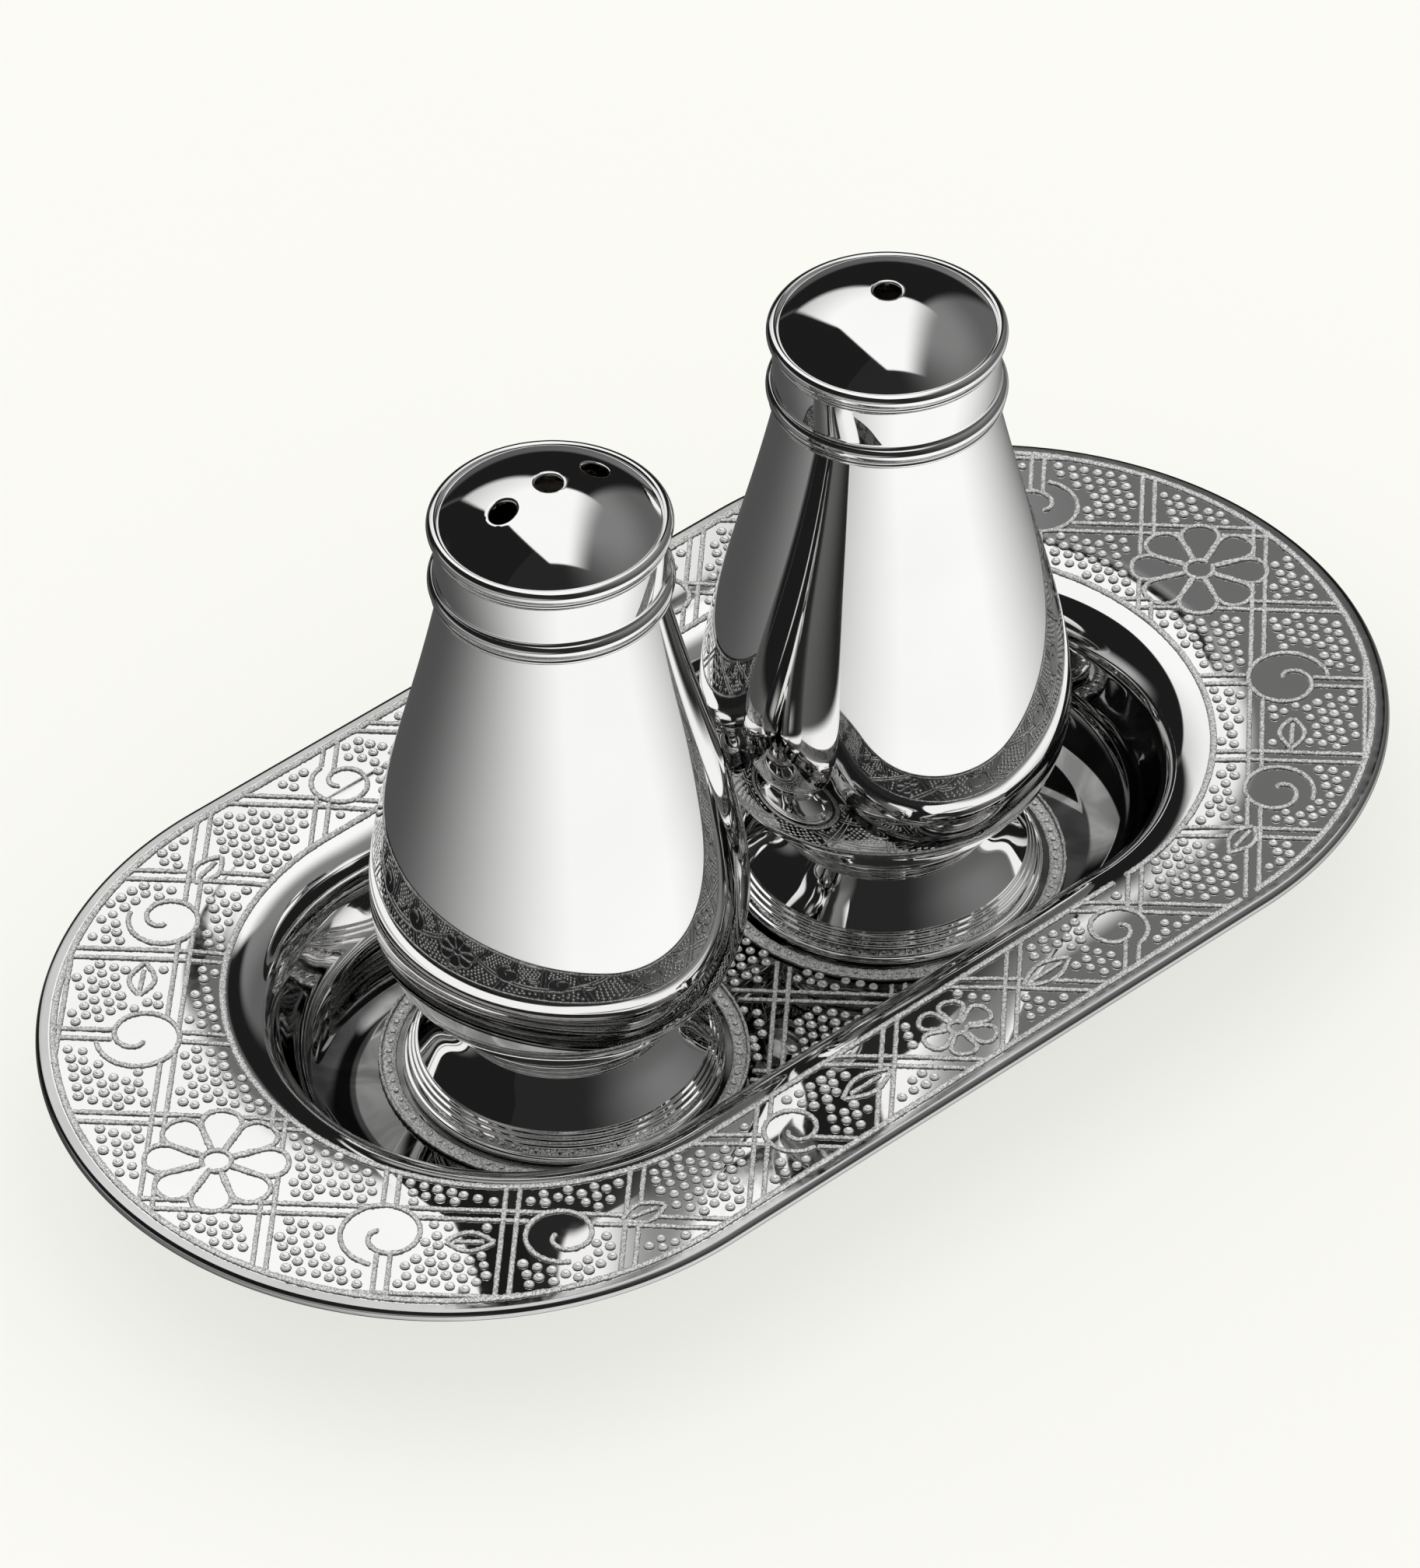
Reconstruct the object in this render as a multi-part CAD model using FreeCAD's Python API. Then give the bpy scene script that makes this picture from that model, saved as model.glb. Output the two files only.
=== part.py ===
import FreeCAD, Part
import math
import os

# Salt and pepper shakers on a matching long tray, built piece by piece as the silversmith joins them.
# Millimetres. +X runs along the tray, +Z is up, and the origin is the centre of the plane the tray
# stands on. Outlines are (radius, height) pairs. A shaker's heights count from the foot's underside.

V = FreeCAD.Vector
UP = V(0, 0, 1)

# ---- tray -------------------------------------------------------------------------------------------
SHEET = 1.4                 # thickness of the tray's pressed sheet
WELL_DEPTH = 14.0           # border plane down to the floor
FLOOR_TOP = SHEET
BORDER_TOP = FLOOR_TOP + WELL_DEPTH
BORDER_END = 36.4           # distance from the middle to the centre of each round end of the border
BORDER_RADIUS = 40.9        # half width of the flat border, where the edge wire begins
WIRE_RADIUS = 42.2          # half width over the edge wire
WELL_END = 28.3             # distance from the middle to the centre of each round end of the well
LIP_ROUND = 6.0             # radius of the rounded lip
ROLL_SLOPE = math.radians(6)    # slope the border reaches where it rolls over into the lip
ROLL_WIDTH = 6.0            # width of that gentle roll
WALL_LEAN = math.radians(14)    # lean of the well's wall from upright
FLOOR_RADIUS = 16.7         # half width of the flat floor
FLOOR_TURN = 6.5            # radius of the turn from floor to wall
SEAT_INNER = 17.1           # raised ring on the floor round each foot
SEAT_OUTER = 19.0
SEAT_HEIGHT = 0.25

# ---- shakers ----------------------------------------------------------------------------------------
SHAKER_X = 22.2             # distance of each shaker's axis from the middle of the tray
HEIGHT = 76.0
WALL = 0.8                  # thickness of the spun sheet

FOOT_RADIUS = 16.6
FOOT_BORE = 14.0            # inner radius of the foot's base moulding
FOOT_RING_TOP = 3.25
FOOT_NECK_RADIUS = 10.9     # where the flared foot meets the stepped rings
KNOP_BOTTOM = 6.9
KNOP_TOP = 10.6
KNOP_BORE = 6.0
DISC_UNDERSIDE = 0.4
DISC_TOP = 1.4

MOUTH_RADIUS = 10.95        # outside of the body at its mouth
MOUTH_HEIGHT = 62.7
BODY_OUTLINE = [(13.2, KNOP_TOP), (16.6, 14.4), (18.7, 19.4), (19.2, 24.6), (18.65, 30.0),
                (16.6, 39.6), (13.35, 52.2), (MOUTH_RADIUS, MOUTH_HEIGHT)]
COLLAR_RADIUS = 11.95
COLLAR_TOP = 63.25
COLLAR_SPIGOT = 1.5         # depth of the collar's spigot inside the mouth

CAP_BOTTOM = 63.3
CAP_BORE = 10.7             # inner radius of the cap's rings
LOWER_BEAD_TOP = 64.9
BAND_TOP = 69.7
BAND_RADIUS = 11.5
BEAD_RADIUS = 12.1
DOME_BASE_RADIUS = 11.0
DOME_BASE = 71.5
DOME_SKIRT_RADIUS = 10.7
DOME_SKIRT_WALL = 0.7

HOLE_RADIUS = 1.35
HOLE_SPACING = 5.45
HOLE_LINE_ANGLE = -6.0      # angle of the row of holes from +X, in degrees
HOLE_ROUND = 0.3            # rounded lip of each hole

# ---- screw thread between cap and neck --------------------------------------------------------------
PITCH = 2.0
THREAD_BOTTOM = 64.1
THREAD_TURNS = 1.75
NECK_BORE = 8.1
NECK_ROOT = 8.9
NECK_CREST = 9.5
NECK_TOP = 68.2
CAP_CREST = 9.15
CAP_ROOT = 9.75
RIDGE_BASE = 0.95           # axial width of a thread ridge at its root
RIDGE_TIP = 0.45            # and at its crest
SINK = 0.15                 # how far a ridge is sunk into its ring so that the two fuse
FLANGE_BOTTOM = 69.0        # inward flange at the top of the cap's thread ring
FLANGE_BORE = 8.4
SEAL_RADIUS = 9.0           # inside the crest of the cap ridge, which turns past the seal


# ---- helpers ----------------------------------------------------------------------------------------
def at(radius, height):
    return V(radius, 0, height)


def line(start, end):
    return Part.LineSegment(at(*start), at(*end)).toShape()


def arc(start, through, end):
    return Part.Arc(at(*start), at(*through), at(*end)).toShape()


def curve(points):
    smooth = Part.BSplineCurve()
    smooth.interpolate([at(*point) for point in points])
    return smooth.toShape()


def chain(points):
    """Straight edges from each point to the next."""
    return [line(start, end) for start, end in zip(points, points[1:])]


def face_of(edges):
    return Part.Face(Part.Wire(Part.__sortEdges__(edges)))


def turned(edges):
    """Solid of revolution about the local Z axis."""
    return face_of(edges).revolve(V(0, 0, 0), UP, 360)


def ring(inner, outer, bottom, top):
    """Plain ring of rectangular section."""
    corners = [(inner, bottom), (outer, bottom), (outer, top), (inner, top), (inner, bottom)]
    return turned(chain(corners))


def inset(points, thickness):
    """Move an open outline towards the axis side by the sheet's thickness."""
    moved = []
    for index, (radius, height) in enumerate(points):
        before = points[max(index - 1, 0)]
        after = points[min(index + 1, len(points) - 1)]
        step_r = after[0] - before[0]
        step_h = after[1] - before[1]
        length = math.hypot(step_r, step_h)
        moved.append((radius - thickness * step_h / length, height + thickness * step_r / length))
    return moved


def pill(edges, end_distance):
    """Carry a (radius, height) section round a long oval: two half turns and two straight runs."""
    section = face_of(edges)
    at_end = section.translated(V(end_distance, 0, 0))
    right_end = at_end.rotated(V(end_distance, 0, 0), UP, -90).revolve(V(end_distance, 0, 0), UP, 180)
    left_end = right_end.rotated(V(0, 0, 0), UP, 180)
    front = at_end.rotated(V(end_distance, 0, 0), UP, -90).extrude(V(-2 * end_distance, 0, 0))
    back = front.rotated(V(0, 0, 0), UP, 180)
    return right_end.fuse([left_end, front, back]).removeSplitter()


def pill_prism(end_distance, radius, bottom, top):
    corners = [(0, bottom), (radius, bottom), (radius, top), (0, top), (0, bottom)]
    return pill(chain(corners), end_distance)


def ridge(root, crest, inward):
    """Helical ridge of trapezoid section. It starts at THREAD_BOTTOM on the +X side."""
    sunk = root + SINK if inward else root - SINK
    helix = Part.makeHelix(PITCH, PITCH * THREAD_TURNS, root)
    half_base = RIDGE_BASE / 2
    half_tip = RIDGE_TIP / 2
    corners = [at(sunk, -half_base), at(crest, -half_tip), at(crest, half_tip), at(sunk, half_base),
               at(sunk, -half_base)]
    section = Part.makePolygon(corners)
    solid = Part.Wire(helix).makePipeShell([section], True, True)
    return solid.translated(V(0, 0, THREAD_BOTTOM))


# ---- tray pieces ------------------------------------------------------------------------------------
def tray_plate():
    """Border that rolls gently into a steep-walled well with a flat floor, pressed from one sheet."""
    overlap = 1.5
    turn_height = FLOOR_TOP + FLOOR_TURN
    half_turn = (math.pi / 2 + WALL_LEAN) / 2
    roll_radius = ROLL_WIDTH / math.sin(ROLL_SLOPE)

    def on_turn(radius, angle):
        return FLOOR_RADIUS + radius * math.cos(angle), turn_height - radius * math.sin(angle)

    def on_wall(start, height):
        return start[0] + (height - start[1]) * math.tan(WALL_LEAN), height

    wall_foot = on_turn(FLOOR_TURN, WALL_LEAN)
    lip_height = BORDER_TOP - roll_radius + (roll_radius - LIP_ROUND) * math.cos(ROLL_SLOPE)
    wall_top = on_wall(wall_foot, lip_height + LIP_ROUND * math.sin(WALL_LEAN))
    lip_radius = wall_top[0] + LIP_ROUND * math.cos(WALL_LEAN)
    flat_radius = lip_radius + (roll_radius - LIP_ROUND) * math.sin(ROLL_SLOPE)

    def on_lip(angle, depth=0):
        radius = LIP_ROUND - depth
        return lip_radius - radius * math.sin(angle), lip_height + radius * math.cos(angle)

    def on_roll(angle, depth=0):
        radius = roll_radius - depth
        drop = roll_radius - radius * math.cos(angle)
        return flat_radius - radius * math.sin(angle), BORDER_TOP - drop

    under_height = BORDER_TOP - SHEET
    under_foot = on_turn(FLOOR_TURN + SHEET, WALL_LEAN)
    under_wall_top = on_lip(math.pi / 2 - WALL_LEAN, SHEET)
    under_lip = on_lip(ROLL_SLOPE, SHEET)
    joint_radius = flat_radius + overlap
    edges = [
        line((joint_radius, BORDER_TOP), (flat_radius, BORDER_TOP)),
        arc((flat_radius, BORDER_TOP), on_roll(ROLL_SLOPE / 2), on_lip(ROLL_SLOPE)),
        arc(on_lip(ROLL_SLOPE), on_lip(math.pi / 4), wall_top),
        line(wall_top, wall_foot),
        arc(wall_foot, on_turn(FLOOR_TURN, half_turn), (FLOOR_RADIUS, FLOOR_TOP)),
        line((FLOOR_RADIUS, FLOOR_TOP), (0, FLOOR_TOP)),
        line((0, FLOOR_TOP), (0, 0)),
        line((0, 0), (FLOOR_RADIUS, 0)),
        arc((FLOOR_RADIUS, 0), on_turn(FLOOR_TURN + SHEET, half_turn), under_foot),
        line(under_foot, under_wall_top),
        arc(under_wall_top, on_lip(math.pi / 4, SHEET), under_lip),
        arc(under_lip, on_roll(ROLL_SLOPE / 2, SHEET), (flat_radius, under_height)),
        line((flat_radius, under_height), (joint_radius, under_height)),
        line((joint_radius, under_height), (joint_radius, BORDER_TOP)),
    ]
    well = pill(edges, WELL_END)
    border = pill_prism(BORDER_END, BORDER_RADIUS, under_height, BORDER_TOP)
    opening = pill_prism(WELL_END, flat_radius + overlap / 2, 0, BORDER_TOP + 1)
    plate = border.cut(opening).fuse(well)
    for side in (-1, 1):
        seat = ring(SEAT_INNER, SEAT_OUTER, FLOOR_TOP - 0.5, FLOOR_TOP + SEAT_HEIGHT)
        plate = plate.fuse(seat.translated(V(side * SHAKER_X, 0, 0)))
    return plate.removeSplitter()


def tray_edge_wire():
    """Half-round wire soldered along the border's edge. It is as thick as the sheet and flush with it."""
    crown = WIRE_RADIUS - SHEET / 2
    bottom = BORDER_TOP - SHEET
    edges = chain([(crown, bottom), (BORDER_RADIUS, bottom), (BORDER_RADIUS, BORDER_TOP), (crown, BORDER_TOP)])
    edges.append(arc((crown, BORDER_TOP), (WIRE_RADIUS, BORDER_TOP - SHEET / 2), (crown, bottom)))
    return pill(edges, BORDER_END)


# ---- shaker pieces ----------------------------------------------------------------------------------
def foot_base_disc():
    return ring(0, FOOT_BORE, DISC_UNDERSIDE, DISC_TOP)


def foot_base_ring():
    """Moulded ring the shaker stands on: a bead, a plain band and three small steps."""
    edges = [
        line((FOOT_BORE, 0), (16.2, 0)),
        arc((16.2, 0), (FOOT_RADIUS, 0.45), (16.2, 0.9)),
    ]
    steps = [(16.2, 0.9), (16.05, 0.95), (15.95, 1.85), (15.6, 1.95), (15.6, 2.35), (15.25, 2.45),
             (15.25, 2.8), (14.9, 2.9), (14.9, FOOT_RING_TOP), (FOOT_BORE, FOOT_RING_TOP), (FOOT_BORE, 0)]
    return turned(edges + chain(steps))


def foot_flare():
    """Hollow trumpet between the base moulding and the stepped rings."""
    outside = [(14.9, FOOT_RING_TOP), (13.6, 4.3), (12.2, 5.5), (FOOT_NECK_RADIUS, KNOP_BOTTOM)]
    inside = [(14.0, FOOT_RING_TOP), (13.1, 3.68), (11.65, 4.92), (FOOT_NECK_RADIUS - 1.1, KNOP_BOTTOM)]
    edges = [curve(outside), line(outside[-1], inside[-1]), curve(inside), line(inside[0], outside[0])]
    return turned(edges)


def knop_rings():
    """Three stepped rings, growing upwards, that carry the body."""
    edges = [line((KNOP_BORE, KNOP_BOTTOM), (10.9, KNOP_BOTTOM))]
    lower = KNOP_BOTTOM
    steps = [(10.9, 11.4, 8.2), (11.7, 12.2, 9.4), (12.6, 13.1, KNOP_TOP)]
    for index, (waist, crest, upper) in enumerate(steps):
        edges.append(arc((waist, lower), (crest, (lower + upper) / 2), (waist, upper)))
        if index + 1 < len(steps):
            edges.append(line((waist, upper), (steps[index + 1][0], upper)))
        lower = upper
    edges.append(line((steps[-1][0], KNOP_TOP), (KNOP_BORE, KNOP_TOP)))
    edges.append(line((KNOP_BORE, KNOP_TOP), (KNOP_BORE, KNOP_BOTTOM)))
    return turned(edges)


def body_shell():
    """Spun body: round bowl below, long taper to the mouth, closed by a flat bottom."""
    inside = inset(BODY_OUTLINE, WALL)
    inside[0] = (13.0, KNOP_TOP + WALL)
    inside[-1] = (MOUTH_RADIUS - WALL, MOUTH_HEIGHT)
    edges = [
        curve(BODY_OUTLINE),
        line(BODY_OUTLINE[-1], inside[-1]),
        curve(inside),
        line(inside[0], (0, KNOP_TOP + WALL)),
        line((0, KNOP_TOP + WALL), (0, KNOP_TOP)),
        line((0, KNOP_TOP), BODY_OUTLINE[0]),
    ]
    return turned(edges)


def neck_collar():
    """Thin ring on the mouth. Its spigot drops inside the body and holds the threaded ring."""
    spigot = MOUTH_RADIUS - WALL
    low = MOUTH_HEIGHT - COLLAR_SPIGOT
    middle = (MOUTH_HEIGHT + COLLAR_TOP) / 2
    edges = chain([(COLLAR_RADIUS - 0.25, COLLAR_TOP), (NECK_ROOT, COLLAR_TOP), (NECK_ROOT, low),
                   (spigot - 0.2, low), (spigot - 0.2, MOUTH_HEIGHT), (COLLAR_RADIUS - 0.25, MOUTH_HEIGHT)])
    edges.append(arc((COLLAR_RADIUS - 0.25, MOUTH_HEIGHT), (COLLAR_RADIUS, middle),
                     (COLLAR_RADIUS - 0.25, COLLAR_TOP)))
    return turned(edges)


def neck_thread_ring():
    tube = ring(NECK_BORE, NECK_ROOT, MOUTH_HEIGHT - COLLAR_SPIGOT, NECK_TOP)
    return tube.fuse(ridge(NECK_ROOT, NECK_CREST, False))


def cap_thread_ring():
    """Internally threaded ring with an inward flange that presses on the seal."""
    tube = ring(CAP_ROOT, CAP_BORE, CAP_BOTTOM, FLANGE_BOTTOM)
    flange = ring(FLANGE_BORE, CAP_BORE, FLANGE_BOTTOM, BAND_TOP)
    inner_ridge = ridge(CAP_ROOT, CAP_CREST, True).translated(V(0, 0, PITCH / 2))
    return tube.fuse([flange, inner_ridge]).removeSplitter()


def cap_seal():
    return ring(NECK_BORE, SEAL_RADIUS, NECK_TOP, FLANGE_BOTTOM)


def cap_lower_bead():
    start = (11.4, CAP_BOTTOM)
    end = (11.7, LOWER_BEAD_TOP)
    edges = [line((CAP_BORE, CAP_BOTTOM), start), arc(start, (12.18, 64.05), end),
             line(end, (CAP_BORE, LOWER_BEAD_TOP)), line((CAP_BORE, LOWER_BEAD_TOP), (CAP_BORE, CAP_BOTTOM))]
    return turned(edges)


def cap_band():
    """Straight band with a small cove against each bead."""
    start = (11.7, LOWER_BEAD_TOP)
    end = (11.7, BAND_TOP)
    low = (BAND_RADIUS, 65.5)
    high = (BAND_RADIUS, 69.2)
    edges = [arc(start, (11.53, 65.15), low), line(low, high), arc(high, (11.53, 69.5), end)]
    return turned(edges + chain([end, (CAP_BORE, BAND_TOP), (CAP_BORE, LOWER_BEAD_TOP), start]))


def cap_top_bead():
    """Fine fillet ring under a rounded bead that frames the dome."""
    foot = (11.55, BAND_TOP + 0.45)
    groove = (DOME_BASE_RADIUS, DOME_BASE)
    edges = [
        line((CAP_BORE, BAND_TOP), (11.6, BAND_TOP)),
        arc((11.6, BAND_TOP), (11.8, BAND_TOP + 0.2), foot),
        arc(foot, (BEAD_RADIUS, 70.9), (11.5, 71.68)),
        arc((11.5, 71.68), (11.25, 71.68), groove),
        line(groove, (CAP_BORE, DOME_BASE)),
        line((CAP_BORE, DOME_BASE), (CAP_BORE, BAND_TOP)),
    ]
    return turned(edges)


def hole_cutter(distance):
    """Round punch for one hole, leaning with the dome's surface."""
    rise = HEIGHT - DOME_BASE
    sphere = (DOME_BASE_RADIUS ** 2 + rise ** 2) / (2 * rise)
    lean = math.degrees(math.asin(distance / sphere))
    punch = Part.makeCylinder(HOLE_RADIUS, 6, V(0, 0, sphere - 4))
    punch = punch.rotated(V(0, 0, 0), V(0, 1, 0), lean).translated(V(0, 0, HEIGHT - sphere))
    return punch.rotated(V(0, 0, 0), UP, HOLE_LINE_ANGLE)


def cap_dome(hole_distances):
    """Shallow dome with a hidden skirt inside the top bead, pierced along one line."""
    rise = HEIGHT - DOME_BASE
    sphere = (DOME_BASE_RADIUS ** 2 + rise ** 2) / (2 * rise)
    centre = HEIGHT - sphere
    half_base = DOME_BASE_RADIUS / 2
    skirt_bore = DOME_SKIRT_RADIUS - DOME_SKIRT_WALL
    inner_sphere = sphere - WALL
    inner_edge = centre + math.sqrt(inner_sphere ** 2 - skirt_bore ** 2)
    half_bore = skirt_bore / 2
    edges = [
        arc((0, HEIGHT), (half_base, centre + math.sqrt(sphere ** 2 - half_base ** 2)),
            (DOME_BASE_RADIUS, DOME_BASE)),
        line((DOME_BASE_RADIUS, DOME_BASE), (DOME_SKIRT_RADIUS, DOME_BASE)),
        line((DOME_SKIRT_RADIUS, DOME_BASE), (DOME_SKIRT_RADIUS, BAND_TOP)),
        line((DOME_SKIRT_RADIUS, BAND_TOP), (skirt_bore, BAND_TOP)),
        line((skirt_bore, BAND_TOP), (skirt_bore, inner_edge)),
        arc((skirt_bore, inner_edge), (half_bore, centre + math.sqrt(inner_sphere ** 2 - half_bore ** 2)),
            (0, HEIGHT - WALL)),
        line((0, HEIGHT - WALL), (0, HEIGHT)),
    ]
    dome = turned(edges)
    for distance in hole_distances:
        dome = dome.cut(hole_cutter(distance))
    rims = []
    for edge in dome.Edges:
        far_end = max(edge.valueAt(edge.FirstParameter).z, edge.valueAt(edge.LastParameter).z)
        on_outside = abs(edge.valueAt(edge.FirstParameter).sub(V(0, 0, centre)).Length - sphere) < 0.01
        if on_outside and far_end > DOME_BASE + 0.5 and 7 < edge.Length < 11:
            rims.append(edge)
    return dome.makeFillet(HOLE_ROUND, rims)


# ---- write one file per piece -----------------------------------------------------------------------
def save(name, shape):
    shape.exportStep(os.path.join("parts", name + ".step"))
    print(name, "solids", len(shape.Solids), "valid", shape.isValid(), "volume", round(shape.Volume, 1))


def save_shaker(prefix, axis_x, hole_distances):
    pieces = {
        "foot_base_disc": foot_base_disc(),
        "foot_base_ring": foot_base_ring(),
        "foot_flare": foot_flare(),
        "knop_rings": knop_rings(),
        "body_shell": body_shell(),
        "neck_collar": neck_collar(),
        "neck_thread_ring": neck_thread_ring(),
        "cap_thread_ring": cap_thread_ring(),
        "cap_seal": cap_seal(),
        "cap_lower_bead": cap_lower_bead(),
        "cap_band": cap_band(),
        "cap_top_bead": cap_top_bead(),
        "cap_dome": cap_dome(hole_distances),
    }
    for name, shape in pieces.items():
        save(prefix + "_" + name, shape.translated(V(axis_x, 0, FLOOR_TOP)))


os.makedirs("parts", exist_ok=True)
save("tray_plate", tray_plate())
save("tray_edge_wire", tray_edge_wire())
save_shaker("pepper", -SHAKER_X, [-HOLE_SPACING, 0, HOLE_SPACING])
save_shaker("salt", SHAKER_X, [0])
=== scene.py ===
import math
import bmesh
import bpy
import numpy as np
from mathutils import Matrix, Vector, geometry, kdtree


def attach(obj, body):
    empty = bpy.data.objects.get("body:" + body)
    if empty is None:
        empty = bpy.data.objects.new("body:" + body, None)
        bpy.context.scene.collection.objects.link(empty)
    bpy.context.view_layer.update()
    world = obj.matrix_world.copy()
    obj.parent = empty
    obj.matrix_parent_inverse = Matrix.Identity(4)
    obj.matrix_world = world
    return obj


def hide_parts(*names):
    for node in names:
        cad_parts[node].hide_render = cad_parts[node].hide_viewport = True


# Polished silver salt and pepper shakers on a long tray with raised ornament. Sizes are millimetres in
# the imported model's frame; MM turns them into metres. Outlines are (radius, height) pairs, and a
# shaker's heights count from the underside of its foot.

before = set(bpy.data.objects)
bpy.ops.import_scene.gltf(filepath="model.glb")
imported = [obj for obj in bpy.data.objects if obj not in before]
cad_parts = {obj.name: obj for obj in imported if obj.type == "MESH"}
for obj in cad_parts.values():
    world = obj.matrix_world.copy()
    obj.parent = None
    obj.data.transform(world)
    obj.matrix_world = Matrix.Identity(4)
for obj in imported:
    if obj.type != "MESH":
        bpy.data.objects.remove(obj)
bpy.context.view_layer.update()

MM = 0.001

# ---- sizes of the tray, the same as in the CAD source ----
SHEET = 1.4
FLOOR_TOP = 1.4
BORDER_TOP = 15.4
BORDER_END = 36.4
BORDER_RADIUS = 40.9
WIRE_RADIUS = 42.2
WELL_END = 28.3
LIP_ROUND = 6.0
ROLL_SLOPE = math.radians(6)
ROLL_WIDTH = 6.0
WALL_LEAN = math.radians(14)
FLOOR_RADIUS = 16.7
FLOOR_TURN = 6.5
SEAT_INNER = 17.1
SEAT_OUTER = 19.0
SEAT_HEIGHT = 0.25

# ---- sizes of the shakers ----
SHAKER_X = 22.2
HEIGHT = 76.0
WALL = 0.8
FOOT_BORE = 14.0
FOOT_RADIUS = 16.6
FOOT_RING_TOP = 3.25
FOOT_NECK_RADIUS = 10.9
KNOP_BOTTOM = 6.9
KNOP_TOP = 10.6
KNOP_BORE = 6.0
MOUTH_RADIUS = 10.95
MOUTH_HEIGHT = 62.7
BODY_OUTLINE = [(13.2, KNOP_TOP), (16.6, 14.4), (18.7, 19.4), (19.2, 24.6), (18.65, 30.0),
                (16.6, 39.6), (13.35, 52.2), (MOUTH_RADIUS, MOUTH_HEIGHT)]
COLLAR_RADIUS = 11.95
COLLAR_TOP = 63.25
COLLAR_BORE = 8.9
COLLAR_SPIGOT = 1.5
CAP_BOTTOM = 63.3
CAP_BORE = 10.7
LOWER_BEAD_TOP = 64.9
BAND_TOP = 69.7
BAND_RADIUS = 11.5
BEAD_RADIUS = 12.1
DOME_BASE_RADIUS = 11.0
DOME_BASE = 71.5
DOME_SKIRT_RADIUS = 10.7
DOME_SKIRT_BORE = 10.0
HOLE_RADIUS = 1.35
HOLE_ROUND = 0.3
HOLE_SPACING = 5.45
HOLE_LINE_ANGLE = math.radians(-6)

# ---- tones ----
BACKDROP = (0.973, 0.973, 0.922)
ROOM_LIGHT = (1.0, 1.0, 0.985)
# painted shade for the deep part of the tray's well
WELL_PAINTED_SHADE = (0.2, 0.2, 0.197)
# painted shade on the steep flanks of the raised ornament
RELIEF_FLANK_SHADE = (0.16, 0.16, 0.157)
SPECK = (0.4, 0.4, 0.395)

LATHE_STEPS = 224  # points round a turned piece
END_STEPS = 144  # points round each half turn of the tray
RUN_STEPS = 40  # points along each straight run of the tray
CORNER = 0.07  # radius of the small rounding on turned corners
SHARP_TURN = 22  # degrees: a softer turn in an outline isn't rounded


# ---- meshes ----
def grid_faces(rows, columns, wrap_rows, wrap_columns):
    """Four-sided faces between the neighbouring points of a grid."""
    row_count = rows if wrap_rows else rows - 1
    column_count = columns if wrap_columns else columns - 1
    row, column = np.meshgrid(np.arange(row_count), np.arange(column_count), indexing="ij")
    next_row = (row + 1) % rows
    next_column = (column + 1) % columns
    corners = [row * columns + column, row * columns + next_column,
               next_row * columns + next_column, next_row * columns + column]
    return np.stack(corners, axis=-1).reshape(-1, 4)


def new_object(name, data):
    thing = bpy.data.objects.new(name, data)
    bpy.context.scene.collection.objects.link(thing)
    return thing


def make_piece(name, points, faces, material, body, smooth_angle=40):
    """Mesh object from points in millimetres. It rides on a CAD body."""
    mesh = bpy.data.meshes.new(name)
    mesh.from_pydata((np.asarray(points, float).reshape(-1, 3) * MM).tolist(), [], [list(f) for f in faces])
    clean = bmesh.new()
    clean.from_mesh(mesh)
    bmesh.ops.remove_doubles(clean, verts=clean.verts, dist=1e-7)
    bmesh.ops.recalc_face_normals(clean, faces=clean.faces)
    clean.to_mesh(mesh)
    clean.free()
    mesh.polygons.foreach_set("use_smooth", [True] * len(mesh.polygons))
    mesh.set_sharp_from_angle(angle=math.radians(smooth_angle))
    mesh.materials.append(material)
    piece = new_object(name, mesh)
    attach(piece, body)
    return piece


# ---- outlines ----
def arc(start, through, end, steps=14):
    """Points on the circular arc through three points."""
    (ax, ay), (bx, by), (cx, cy) = start, through, end
    d = 2 * (ax * (by - cy) + bx * (cy - ay) + cx * (ay - by))
    ux = ((ax**2 + ay**2) * (by - cy) + (bx**2 + by**2) * (cy - ay) + (cx**2 + cy**2) * (ay - by)) / d
    uy = ((ax**2 + ay**2) * (cx - bx) + (bx**2 + by**2) * (ax - cx) + (cx**2 + cy**2) * (bx - ax)) / d
    radius = math.hypot(ax - ux, ay - uy)
    first = math.atan2(ay - uy, ax - ux)
    middle = (math.atan2(by - uy, bx - ux) - first) % (2 * math.pi)
    turn = (math.atan2(cy - uy, cx - ux) - first) % (2 * math.pi)
    if middle > turn:
        turn -= 2 * math.pi
    angles = first + turn * np.linspace(0, 1, steps)
    return [(ux + radius * math.cos(a), uy + radius * math.sin(a)) for a in angles]


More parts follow.
